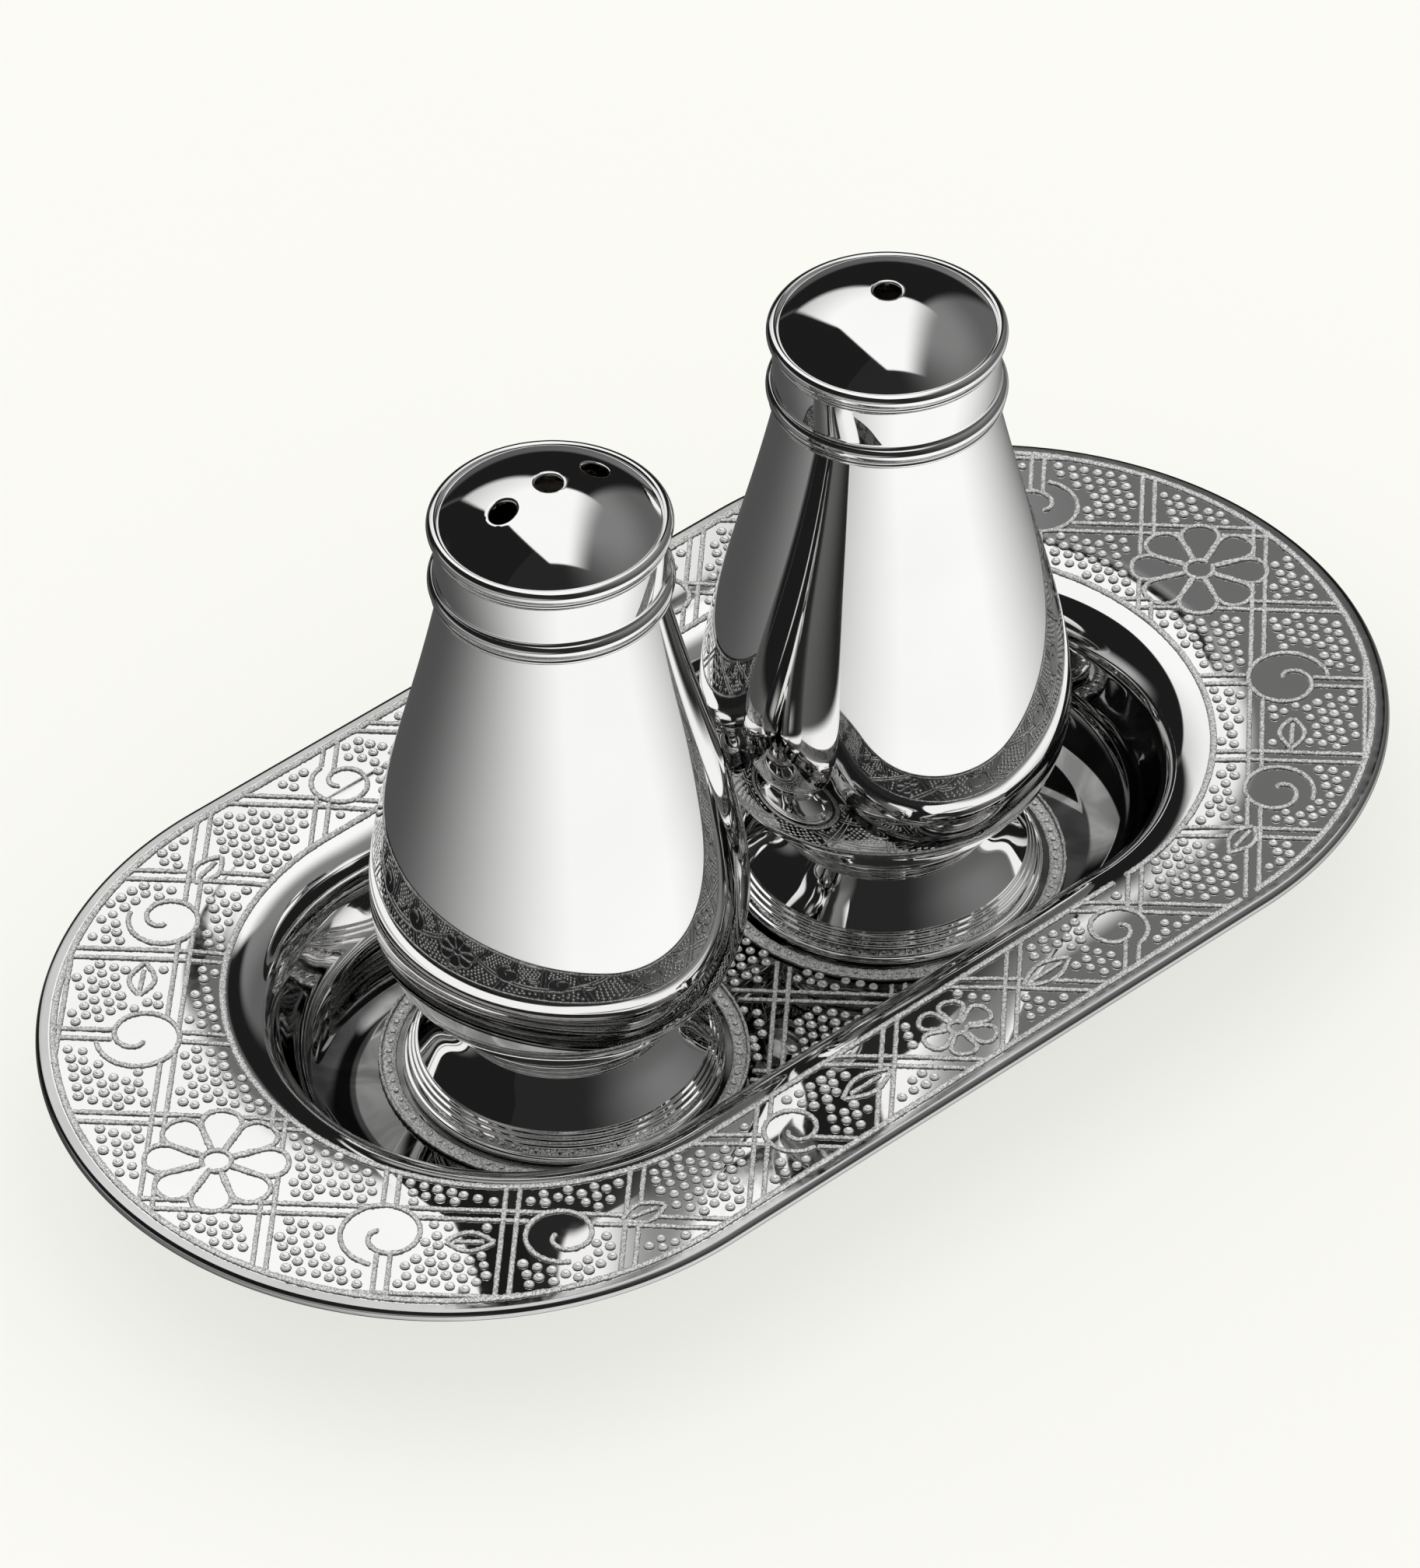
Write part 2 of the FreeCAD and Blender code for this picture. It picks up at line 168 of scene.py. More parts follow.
def smooth_curve(points, steps):
    """Natural cubic curve through the points, cut into evenly spaced points."""
    p = np.asarray(points, float)
    t = np.concatenate([[0], np.cumsum(np.linalg.norm(np.diff(p, axis=0), axis=1))])
    count = len(p)
    gap = np.diff(t)
    system = np.zeros((count, count))
    right = np.zeros((count, p.shape[1]))
    system[0, 0] = system[-1, -1] = 1
    for i in range(1, count - 1):
        system[i, i - 1:i + 2] = gap[i - 1], 2 * (gap[i - 1] + gap[i]), gap[i]
        right[i] = 6 * ((p[i + 1] - p[i]) / gap[i] - (p[i] - p[i - 1]) / gap[i - 1])
    bend = np.linalg.solve(system, right)
    s = np.linspace(0, t[-1], steps)
    k = np.clip(np.searchsorted(t, s, side="right") - 1, 0, count - 2)
    a = ((t[k + 1] - s) / gap[k])[:, None]
    b = 1 - a
    h2 = (gap[k] ** 2)[:, None] / 6
    curve = a * p[k] + b * p[k + 1] + ((a**3 - a) * bend[k] + (b**3 - b) * bend[k + 1]) * h2
    return [tuple(point) for point in curve]


def soften(outline, radius=CORNER):
    """Closed outline with each sharp corner replaced by a small curve and a supporting point beside it."""
    points = [np.array(p, float) for p in outline]
    points = [p for i, p in enumerate(points) if np.linalg.norm(p - points[i - 1]) > 1e-6]
    result = []
    for i, corner in enumerate(points):
        before = corner - points[i - 1]
        after = points[(i + 1) % len(points)] - corner
        room_before = np.linalg.norm(before)
        room_after = np.linalg.norm(after)
        before = before / room_before
        after = after / room_after
        turn = math.degrees(math.acos(np.clip(before @ after, -1, 1)))
        if turn < SHARP_TURN or corner[0] < 1e-6:
            result.append(tuple(corner))
            continue
        back = min(radius, room_before * 0.3)
        ahead = min(radius, room_after * 0.3)
        result.append(tuple(corner - before * back * 1.4))
        for s in (0, 0.25, 0.5, 0.75, 1):
            start = corner - before * back * (1 - s)
            end = corner + after * ahead * s
            result.append(tuple(start * (1 - s) + end * s))
        result.append(tuple(corner + after * ahead * 1.4))
    return result


def sideways(points):
    """Unit directions square to a path, on its left."""
    along = np.gradient(points, axis=0)
    along /= np.linalg.norm(along, axis=1)[:, None]
    return np.column_stack([-along[:, 1], along[:, 0]])


def inset(points, thickness):
    """Open outline moved towards the axis side by the sheet's thickness."""
    p = np.asarray(points, float)
    return [tuple(q) for q in p + thickness * sideways(p)]


# ---- turned and swept pieces ----
def turned(name, outline, axis_x, material, body, smooth_angle=40):
    """Closed outline turned about a shaker's axis."""
    outline = np.array(outline)
    angle = np.linspace(0, 2 * math.pi, LATHE_STEPS, endpoint=False)
    points = np.empty((len(outline), LATHE_STEPS, 3))
    points[:, :, 0] = outline[:, 0:1] * np.cos(angle) + axis_x
    points[:, :, 1] = outline[:, 0:1] * np.sin(angle)
    points[:, :, 2] = outline[:, 1:2] + FLOOR_TOP
    faces = grid_faces(len(outline), LATHE_STEPS, True, True)
    return make_piece(name, points, faces, material, body, smooth_angle)


def pill_ring(end, radius):
    """Points round a long oval: straight runs joined by two half turns."""
    turn = np.linspace(-math.pi / 2, math.pi / 2, END_STEPS)
    run = np.linspace(1, -1, RUN_STEPS + 1)[1:-1]
    right = np.stack([end + radius * np.cos(turn), radius * np.sin(turn)], axis=1)
    back = np.stack([end * run, np.full(len(run), float(radius))], axis=1)
    half = np.concatenate([right, back])
    return np.concatenate([half, -half])


def swept(name, section, material, body, smooth_angle=40):
    """Closed section of (end, radius, height) triples carried round the long oval."""
    rings = []
    for end, radius, height in section:
        ring = pill_ring(end, radius)
        rings.append(np.column_stack([ring, np.full(len(ring), height)]))
    points = np.array(rings)
    return make_piece(name, points, grid_faces(*points.shape[:2], True, True), material, body, smooth_angle)


# ---- materials ----
FLOOR_LEAN = 0.05  # sideways part added to the well floor's normal
# painted shade: between these heights the well's silver is painted darker, standing in for shade in the
# recess
WELL_SHADE_TOP = 9.0  # heights in the well between which the silver darkens
WELL_SHADE_BOTTOM = 3.0


def new_material(name):
    material = bpy.data.materials.new(name)
    material.use_nodes = True
    return material, material.node_tree, material.node_tree.nodes["Principled BSDF"]


def parts(tree, vector):
    """The x, y and z of a vector."""
    split = tree.nodes.new("ShaderNodeSeparateXYZ")
    tree.links.new(vector, split.inputs[0])
    return split.outputs


def noise(tree, scale, detail, distortion=0.0):
    """Procedural noise in object space. Scale counts features per metre."""
    place = tree.nodes.new("ShaderNodeTexCoord")
    texture = tree.nodes.new("ShaderNodeTexNoise")
    texture.inputs["Scale"].default_value = scale
    texture.inputs["Detail"].default_value = detail
    texture.inputs["Distortion"].default_value = distortion
    tree.links.new(place.outputs["Object"], texture.inputs["Vector"])
    return texture.outputs["Fac"]


def set_or_link(tree, socket, value):
    if isinstance(value, (int, float)):
        socket.default_value = value
    else:
        tree.links.new(value, socket)


def ramp(tree, value, low, high, at_low=0.0, at_high=1.0, smooth=True):
    node = tree.nodes.new("ShaderNodeMapRange")
    node.interpolation_type = "SMOOTHSTEP" if smooth else "LINEAR"
    names = ("Value", "From Min", "From Max", "To Min", "To Max")
    for name, setting in zip(names, (value, low, high, at_low, at_high)):
        set_or_link(tree, node.inputs[name], setting)
    return node.outputs["Result"]


def math_node(tree, operation, first, second=None):
    node = tree.nodes.new("ShaderNodeMath")
    node.operation = operation
    set_or_link(tree, node.inputs[0], first)
    if second is not None:
        set_or_link(tree, node.inputs[1], second)
    return node.outputs[0]


def colour_between(tree, factor, first, second):
    node = tree.nodes.new("ShaderNodeMix")
    node.data_type = "RGBA"
    set_or_link(tree, node.inputs["Factor"], factor)
    for socket, value in ((node.inputs["A"], first), (node.inputs["B"], second)):
        if isinstance(value, tuple):
            socket.default_value = (*value, 1)
        else:
            tree.links.new(value, socket)
    return node.outputs["Result"]


def bump(tree, shader, height, strength, distance):
    node = tree.nodes.new("ShaderNodeBump")
    node.inputs["Strength"].default_value = strength
    node.inputs["Distance"].default_value = distance
    tree.links.new(height, node.inputs["Height"])
    tree.links.new(node.outputs["Normal"], shader.inputs["Normal"])


def metal(name, light, dark, smoothest, roughest, grain, grain_depth):
    """Metal whose tone and polish drift a little, with fine grain in its surface."""
    material, tree, shader = new_material(name)
    shader.inputs["Metallic"].default_value = 1.0
    cloud = noise(tree, 60, 3)
    fine = noise(tree, grain, 4)
    tone = colour_between(tree, ramp(tree, cloud, 0.3, 0.7), light, dark)
    tree.links.new(tone, shader.inputs["Base Color"])
    polish = ramp(tree, fine, 0.25, 0.75, smoothest, roughest)
    tree.links.new(polish, shader.inputs["Roughness"])
    if grain_depth:
        bump(tree, shader, fine, 1.0, grain_depth)
    return material


def polished_silver(name):
    return metal(name, (0.955, 0.952, 0.945), (0.92, 0.916, 0.908), 0.015, 0.045, 900, 0)


def well_silver(name):
    """Polished silver painted darker down in the well: painted shade that dims its reflections in the
    recess, broken up by noise streaks.
    """
    material = polished_silver(name)
    tree = material.node_tree
    shader = tree.nodes["Principled BSDF"]
    polished = shader.inputs["Base Color"].links[0].from_socket
    z = parts(tree, tree.nodes.new("ShaderNodeTexCoord").outputs["Object"])["Z"]
    depth = ramp(tree, z, WELL_SHADE_TOP * MM, WELL_SHADE_BOTTOM * MM)
    streaks = ramp(tree, noise(tree, 110, 3, 1.5), 0.35, 0.7, 1.0, 0.75)
    # painted shade: the colour darkens with depth in the well, in streaks
    tone = colour_between(tree, math_node(tree, "MULTIPLY", depth, streaks), polished, WELL_PAINTED_SHADE)
    tree.links.new(tone, shader.inputs["Base Color"])
    # the floor's normal leans towards the tray's right end, which shifts its reflections as in the photo
    floor_only = ramp(tree, z, (FLOOR_TOP + 1.5) * MM, (FLOOR_TOP + 0.1) * MM)
    lean = tree.nodes.new("ShaderNodeCombineXYZ")
    tree.links.new(math_node(tree, "MULTIPLY", floor_only, FLOOR_LEAN), lean.inputs["X"])
    surface = tree.nodes.new("ShaderNodeNewGeometry")
    add = tree.nodes.new("ShaderNodeVectorMath")
    tree.links.new(surface.outputs["Normal"], add.inputs[0])
    tree.links.new(lean.outputs[0], add.inputs[1])
    straighten = tree.nodes.new("ShaderNodeVectorMath")
    straighten.operation = "NORMALIZE"
    tree.links.new(add.outputs[0], straighten.inputs[0])
    tree.links.new(straighten.outputs[0], shader.inputs["Normal"])
    return material


def stain_or_shade(tree, clean, tone):
    """Lays a tone over a metal's colour wherever clean is 0. It paints speckles into chased silver and
    painted shade onto the relief's steep flanks.
    """
    colour = tree.nodes["Principled BSDF"].inputs["Base Color"]
    tree.links.new(colour_between(tree, clean, tone, colour.links[0].from_socket), colour)


def frosted(material, share, dull, bright):
    """Silver that scatters a share of the light for the camera, with painted shade darkening its steep
    flanks.

    Mirrors still see it as plain metal. The painted shade clears as the normal's upward part goes from dull
    to bright.
    """
    tree = material.node_tree
    path = tree.nodes.new("ShaderNodeLightPath")
    metallic = ramp(tree, path.outputs["Is Camera Ray"], 0, 1, 1.0, 1.0 - share)
    tree.links.new(metallic, tree.nodes["Principled BSDF"].inputs["Metallic"])
    upward = parts(tree, tree.nodes.new("ShaderNodeNewGeometry").outputs["Normal"])["Z"]
    # painted shade: flanks that face less upwards are painted darker, as shade would fall on them
    stain_or_shade(tree, ramp(tree, upward, dull, bright), RELIEF_FLANK_SHADE)
    return material


def chased_silver(name):
    """Silver left frosted by the chasing tool: a fine bright grain."""
    material = metal(name, (0.97, 0.967, 0.96), (0.86, 0.857, 0.85), 0.1, 0.26, 4200, 0.00009)
    tree = material.node_tree
    stain_or_shade(tree, ramp(tree, noise(tree, 5200, 2), 0.38, 0.6), SPECK)
    return frosted(material, 0.82, 0.3, 0.75)


def punched_silver(name):
    """Silver struck with a polished punch."""
    material = metal(name, (0.97, 0.967, 0.96), (0.9, 0.897, 0.89), 0.04, 0.12, 2600, 0.00001)
    return frosted(material, 0.4, 0.2, 0.6)


def wire_silver(name):
    """Duller silver, worn by handling."""
    return metal(name, (0.66, 0.658, 0.65), (0.56, 0.558, 0.55), 0.05, 0.15, 900, 0)


def thread_brass(name):
    return metal(name, (0.80, 0.60, 0.30), (0.70, 0.50, 0.24), 0.2, 0.34, 2400, 0.00001)


def seal_rubber(name):
    material, tree, shader = new_material(name)
    speck = noise(tree, 1800, 4)
    tone = colour_between(tree, ramp(tree, speck, 0.3, 0.7), (0.62, 0.61, 0.58), (0.50, 0.49, 0.46))
    tree.links.new(tone, shader.inputs["Base Color"])
    tree.links.new(ramp(tree, speck, 0.3, 0.7, 0.45, 0.62), shader.inputs["Roughness"])
    bump(tree, shader, speck, 0.6, 0.00004)
    return material


# ---- tray ----
ROLL_RADIUS = ROLL_WIDTH / math.sin(ROLL_SLOPE)
TURN_HEIGHT = FLOOR_TOP + FLOOR_TURN


def on_turn(radius, angle):
    return FLOOR_RADIUS + radius * math.cos(angle), TURN_HEIGHT - radius * math.sin(angle)


def on_wall(start, height):
    return start[0] + (height - start[1]) * math.tan(WALL_LEAN), height


WALL_FOOT = on_turn(FLOOR_TURN, WALL_LEAN)
LIP_HEIGHT = BORDER_TOP - ROLL_RADIUS + (ROLL_RADIUS - LIP_ROUND) * math.cos(ROLL_SLOPE)
WALL_TOP = on_wall(WALL_FOOT, LIP_HEIGHT + LIP_ROUND * math.sin(WALL_LEAN))
LIP_RADIUS = WALL_TOP[0] + LIP_ROUND * math.cos(WALL_LEAN)
FLAT_RADIUS = LIP_RADIUS + (ROLL_RADIUS - LIP_ROUND) * math.sin(ROLL_SLOPE)


def on_lip(angle, depth=0.0):
    radius = LIP_ROUND - depth
    return LIP_RADIUS - radius * math.sin(angle), LIP_HEIGHT + radius * math.cos(angle)


def on_roll(angle, depth=0.0):
    radius = ROLL_RADIUS - depth
    return FLAT_RADIUS - radius * math.sin(angle), BORDER_TOP - ROLL_RADIUS + radius * math.cos(angle)


def tray_section():
    """The plate's section from the border's edge down to the floor and back along the underside."""
    floor_radii = (FLOOR_RADIUS - 0.1, 14, 7, 0)
    slope_at_wall = math.pi / 2 - WALL_LEAN
    top = [on_roll(angle) for angle in np.linspace(0, ROLL_SLOPE, 12)]
    top += [on_lip(angle) for angle in np.linspace(ROLL_SLOPE, slope_at_wall, 24)[1:]]
    top += [on_wall(WALL_FOOT, height) for height in np.linspace(WALL_TOP[1], WALL_FOOT[1], 7)[1:-1]]
    top += [on_turn(FLOOR_TURN, angle) for angle in np.linspace(WALL_LEAN, math.pi / 2, 30)]
    top += [(radius, FLOOR_TOP) for radius in floor_radii]
    under = [(radius, 0) for radius in reversed(floor_radii)]
    under += [on_turn(FLOOR_TURN + SHEET, angle) for angle in np.linspace(math.pi / 2, WALL_LEAN, 20)]
    under += [on_lip(angle, SHEET) for angle in np.linspace(slope_at_wall, ROLL_SLOPE, 12)]
    under += [on_roll(angle, SHEET) for angle in np.linspace(ROLL_SLOPE, 0, 4)[1:]]
    well = [(WELL_END, radius, height) for radius, height in top + under]
    edge = [(BORDER_RADIUS, BORDER_TOP - SHEET), (BORDER_RADIUS, BORDER_TOP),
            (BORDER_RADIUS - 0.05, BORDER_TOP)]
    return well + [(BORDER_END, radius, height) for radius, height in edge]


def tray_wire_section():
    """Half-round wire along the border's edge, as thick as the sheet and flush with it."""
    crown = WIRE_RADIUS - SHEET / 2
    bottom = BORDER_TOP - SHEET
    nose = arc((crown, BORDER_TOP), (WIRE_RADIUS, BORDER_TOP - SHEET / 2), (crown, bottom), 25)
    outline = nose + [(BORDER_RADIUS, bottom), (BORDER_RADIUS, BORDER_TOP)]
    return [(BORDER_END, radius, height) for radius, height in outline]


def build_tray(silver):
    plate = swept("tray_plate_fine", tray_section(), silver["tray_silver"], "tray")
    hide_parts("tray_plate")
    wire = swept("tray_edge_wire_fine", tray_wire_section(), silver["wire_silver"], "tray")
    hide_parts("tray_edge_wire")


# ---- raised ornament ----
CORD_WIDTH = 0.6
CORD_HEIGHT = 0.24
EDGE_CORD_WIDTH = 0.8
CORD_STEP = 0.2  # distance between the cross-sections of a cord
OUTER_CORD = 40.4  # half width of the cord along the border's edge
INNER_CORD = 29.65  # half width of the cord along the well's lip
LATTICE_STEP = 12.0  # distance between the lattice's bands
LATTICE_HALF = 0.67  # half the distance between a band's two cords
STUD_RADIUS = 0.57
STUD_HEIGHT = 0.3
STUD_STEP = 1.45
SEAT_CORD_WIDTH = 0.4
SEAT_DOTS = 76  # dots round each shaker's seat


def well_distance(points):
    return np.hypot(np.maximum(np.abs(points[:, 0]) - WELL_END, 0), points[:, 1])


def edge_distance(points):
    return np.hypot(np.maximum(np.abs(points[:, 0]) - BORDER_END, 0), points[:, 1])


def border_height(points):
    """Height of the border: flat, then rolling down towards the well."""
    into_roll = np.clip(FLAT_RADIUS - well_distance(points), 0, ROLL_WIDTH)
    return BORDER_TOP - ROLL_RADIUS + np.sqrt(ROLL_RADIUS**2 - into_roll**2)


def floor_height(points):
    """Height of the floor, which turns up into the wall."""
    into_turn = np.clip(well_distance(points) - FLOOR_RADIUS, 0, FLOOR_TURN)
    return FLOOR_TOP + FLOOR_TURN - np.sqrt(FLOOR_TURN**2 - into_turn**2)


def seat_height(points):
    return np.maximum(floor_height(points), FLOOR_TOP + SEAT_HEIGHT)


def on_border(points):
    return (well_distance(points) > INNER_CORD) & (edge_distance(points) < OUTER_CORD)


def on_open_floor(points):
    """The part of the well's floor between the two shakers' seats."""
    x, y = np.abs(points).T
    near_seat = np.hypot(x - SHAKER_X, y) < SEAT_OUTER + 0.3
    return ~near_seat & (y < FLOOR_RADIUS + 3) & (x < SHAKER_X)


def in_outline(points, outline):
    """Which points lie inside a closed outline."""
    x, y = points[:, 0:1], points[:, 1:2]
    ax, ay = outline[:, 0], outline[:, 1]
    bx, by = np.roll(ax, -1), np.roll(ay, -1)
    rise = np.where(by == ay, 1e-9, by - ay)
    crosses = ((ay > y) != (by > y)) & (x < ax + (y - ay) * (bx - ax) / rise)
    return crosses.sum(axis=1) % 2 == 1


def evenly(points, step):
    """The same path cut into even steps."""
    points = np.asarray(points, float)
    run = np.concatenate([[0], np.cumsum(np.linalg.norm(np.diff(points, axis=0), axis=1))])
    s = np.linspace(0, run[-1], max(int(run[-1] / step) + 1, 2))
    return np.column_stack([np.interp(s, run, points[:, 0]), np.interp(s, run, points[:, 1])])


def path(*points):
    return np.array(smooth_curve(points, 60)) if len(points) > 2 else np.array(points, float)


def circle(centre, radius, start=0, sweep=360, steps=60):
    turn = np.radians(start + np.linspace(0, sweep, steps))
    return np.array(centre) + radius * np.column_stack([np.cos(turn), np.sin(turn)])


def spiral(centre, radius, start, sweep, last=0.15):
    """Circle that tightens into a hook. It ends at the share last of its radius."""
    s = np.linspace(0, 1, 120)
    turn = np.radians(start + sweep * s)
    r = radius * (1 - (1 - last) * s**2.2)
    return np.array(centre) + np.column_stack([r * np.cos(turn), r * np.sin(turn)])


class Relief:
    """Cords and studs on one surface. What is added first lies on top."""

    def __init__(self, allowed, height):
        self.allowed = allowed
        self.height = height
        self.cords = []
        self.grounds = []

    def open(self, points):
        free = self.allowed(points)
        for ground in self.grounds:
            free &= ~in_outline(points, ground)
        return free

    def cord(self, points, width=CORD_WIDTH, clip=True):
        points = evenly(points, CORD_STEP)
        if not clip:
            self.cords.append((points, width))
            return
        free = self.open(points)
        edges = np.flatnonzero(np.diff(np.concatenate([[False], free, [False]]).astype(int)))
        for first, last in zip(edges[::2], edges[1::2]):
            if last - first > 3:
                self.cords.append((points[first:last], width))

    def motif(self, cords, ground=None):
        for cord in cords:
            self.cord(cord)
        if ground is not None:
            self.grounds.append(np.asarray(ground, float))

    def disc(self, centre, radius, start, sweep):
        """Disc whose edge hooks into its middle."""
        curl = spiral(centre, radius, start, sweep)
        self.motif([curl], curl[:int(len(curl) * 360 / abs(sweep))])

    def petals(self, hub, hub_radius, length, width, angles):
        """Rounded petals round a hub."""
        share = np.array([0.0, 0.35, 0.7, 0.9, 1.0, 0.9, 0.7, 0.35, 0.0])
        half = np.array([0.14, 0.34, 0.5, 0.38, 0.0, -0.38, -0.5, -0.34, -0.14]) * width
        along = hub_radius + (length - hub_radius) * share
        for turn in np.radians(angles):
            outward = np.array([math.cos(turn), math.sin(turn)])
            aside = np.array([-math.sin(turn), math.cos(turn)])
            petal = path(*(np.array(hub) + np.outer(along, outward) + np.outer(half, aside)))
            self.motif([petal], petal)
        self.motif([circle(hub, hub_radius)], circle(hub, hub_radius))

    def leaf(self, base, tip, width):
        """Pointed oval with a middle vein."""
        base, tip = np.array(base, float), np.array(tip, float)
        side = np.array([base[1] - tip[1], tip[0] - base[0]]) / np.linalg.norm(tip - base) * width / 2
        left = path(base, base * 0.55 + tip * 0.45 + side, tip)
        right = path(base, base * 0.55 + tip * 0.45 - side, tip)
        self.cord(path(base * 0.85 + tip * 0.15, base * 0.5 + tip * 0.5, base * 0.2 + tip * 0.8))
        self.motif([left, right], np.concatenate([left, right[::-1]]))

    def lattice(self, reach):
        """Bands at 45 degrees in both directions."""
        count = int(reach / LATTICE_STEP) + 1
        for k in range(-count, count):
            for offset in (-LATTICE_HALF, LATTICE_HALF):
                across = (k + 0.5) * LATTICE_STEP + offset
                for lean in (1, -1):
                    along = np.linspace(-reach, reach, int(2 * reach / CORD_STEP))
                    x = (along - lean * across) / math.sqrt(2)
                    y = (lean * along + across) / math.sqrt(2)
                    self.cord(np.column_stack([x, y]))

    def studs(self, reach_x, reach_y, rng):
        """Small domes wherever they fit between the cords."""
        taken = np.concatenate([points for points, width in self.cords])
        tree = kdtree.KDTree(len(taken))
        for index, (x, y) in enumerate(taken):
            tree.insert((x, y, 0), index)
        tree.balance()
        row_step = STUD_STEP * 0.866
        rows = int(reach_y / row_step)
        columns = int(reach_x / STUD_STEP)
        row, column = np.mgrid[-rows:rows + 1, -columns:columns + 1].reshape(2, -1)
        centres = np.column_stack([(column + 0.5 * (row % 2)) * STUD_STEP, row * row_step])
        centres = centres + rng.uniform(-0.13, 0.13, (len(centres), 2))
        clear = CORD_WIDTH / 2 + STUD_RADIUS * 0.9
        centres = centres[self.open(centres)]
        return np.array([c for c in centres if tree.find((c[0], c[1], 0))[2] > clear])


def cords_piece(name, reliefs, material, rng):
    """All cords of the reliefs as one mesh. Their grain is real: each point is shifted a little."""
    across = np.array([-0.5, -0.38, -0.14, 0.14, 0.38, 0.5])
    rise = np.array([-0.4, 0.62, 1.0, 1.0, 0.62, -0.4])
    grain = np.array([0, 1, 1, 1, 1, 0])
    all_points = []
    all_faces = []
    total = 0
    for relief in reliefs:
        for points, width in relief.cords:
            count = len(points)
            side = sideways(points)
            shift = across * width + grain * rng.normal(0, 0.03, (count, 6))
            lift = rise * CORD_HEIGHT * (1 + grain * rng.normal(0, 0.2, (count, 6)))
            flat = points[:, None, :] + side[:, None, :] * shift[:, :, None]
            base = relief.height(flat.reshape(-1, 2)).reshape(count, 6)
            closed = np.linalg.norm(points[0] - points[-1]) < 0.3
            if not closed:
                lift[0] = lift[-1] = -0.4 * CORD_HEIGHT
            all_points.append(np.dstack([flat, base + lift]).reshape(-1, 3))
            all_faces.append(grid_faces(count, 6, closed, True) + total)
            total += count * 6
    return make_piece(name, np.concatenate(all_points), np.concatenate(all_faces), material, "tray", 180)


def studs_piece(name, groups, material, rng):
    """Small dimpled domes. Each group is (centres, height function, scale)."""
    steps = 10
    rings = np.array([(1.06, -0.25), (0.95, 0.42), (0.76, 0.9), (0.58, 1.0), (0.4, 0.84), (0.16, 0.66)])
    turn = np.linspace(0, 2 * math.pi, steps, endpoint=False)
    unit = np.column_stack([np.cos(turn), np.sin(turn)])
    all_points = []
    all_faces = []
    total = 0
    cap = [list(range((len(rings) - 1) * steps, len(rings) * steps)), list(range(steps))]
    for centres, height, scale in groups:
        ground = height(centres)
        for centre, base in zip(centres, ground):
            size = scale * rng.uniform(0.88, 1.05)
            flat = centre + unit[None] * rings[:, 0, None, None] * STUD_RADIUS * size
            flat = flat + rng.normal(0, 0.012, flat.shape)
            lift = base + rings[:, 1:2] * STUD_HEIGHT * size + rng.normal(0, 0.008, (len(rings), steps))
            all_points.append(np.dstack([flat, lift]).reshape(-1, 3))
            all_faces += (grid_faces(len(rings), steps, False, True) + total).tolist()
            all_faces += [[i + total for i in face] for face in cap]
            total += len(rings) * steps
    return make_piece(name, np.concatenate(all_points), all_faces, material, "tray", 180)


def border_place(degrees):
    """Middle of the border at an angle round the tray's right end."""
    turn = math.radians(degrees)
    outward = np.array([math.cos(turn), math.sin(turn)])
    centre = np.array([(WELL_END + BORDER_END) / 2, 0])
    return centre + outward * (INNER_CORD + OUTER_CORD) / 2


def end_motif(relief):
    """Round flower in the middle of the tray's end."""
    relief.petals(border_place(0), 1.5, 7.2, 4.0, range(0, 360, 45))


def side_motif(relief):
    """Small round flower in the middle of the long side."""
    relief.petals((0, border_place(90)[1]), 0.9, 4.0, 2.6, range(0, 360, 60))


def quarter_motifs(relief):
    """Scrolls that shrink from the end towards the side, each followed by a leaf."""
    for place, radius in ((33, 4.4), (62, 3.8)):
        relief.disc(border_place(place), radius, place, -480)
        relief.leaf(border_place(place + 10), border_place(place + 18), 2.6)
    relief.disc((22.0, border_place(90)[1]), 3.2, 90, -480)
    relief.leaf((15.5, border_place(90)[1]), (9.0, border_place(90)[1]), 2.6)


def mirrored_motifs(border):
    """The same few motifs, mirrored across the tray's two middle lines."""
    quarters = ((1, 1), (1, -1), (-1, 1), (-1, -1))
    ends = quarters[::2]
    sides = quarters[:2]
    for draw, mirrors in ((end_motif, ends), (side_motif, sides), (quarter_motifs, quarters)):
        pattern = Relief(on_border, border_height)
        draw(pattern)
        for mirror in mirrors:
            for points, width in pattern.cords:
                border.cord(points * mirror, width)
        border.grounds += [ground * mirror for ground in pattern.grounds for mirror in mirrors]


def build_relief(chased, punched):
    rng = np.random.default_rng(11)
    border = Relief(on_border, border_height)
    mirrored_motifs(border)
    border.lattice(90)
    border.cord(pill_ring(BORDER_END, OUTER_CORD), EDGE_CORD_WIDTH, clip=False)
    border.cord(pill_ring(WELL_END, INNER_CORD), EDGE_CORD_WIDTH, clip=False)
    floor = Relief(on_open_floor, floor_height)
    floor.lattice(34)
    seats = Relief(None, floor_height)
    seat_edges = Relief(None, seat_height)
    dots = []
    for side in (-1, 1):
        centre = (side * SHAKER_X, 0)
        middle = (SEAT_INNER + SEAT_OUTER) / 2
        seats.cord(circle(centre, middle, steps=400), SEAT_OUTER - SEAT_INNER, clip=False)
        seat_edges.cord(circle(centre, SEAT_OUTER - 0.1), SEAT_CORD_WIDTH, clip=False)
        dots.append(circle(centre, middle - 0.1, 0, 360 - 360 / SEAT_DOTS, SEAT_DOTS))
    cords = cords_piece("tray_relief_cords", [border, floor, seats, seat_edges], chased, rng)
    groups = [(border.studs(78, 41, rng), border_height, 1.0), (floor.studs(20, 21, rng), floor_height, 1.0)]
    groups += [(ring, seat_height, 0.5) for ring in dots]
    studs = studs_piece("tray_relief_studs", groups, punched, rng)


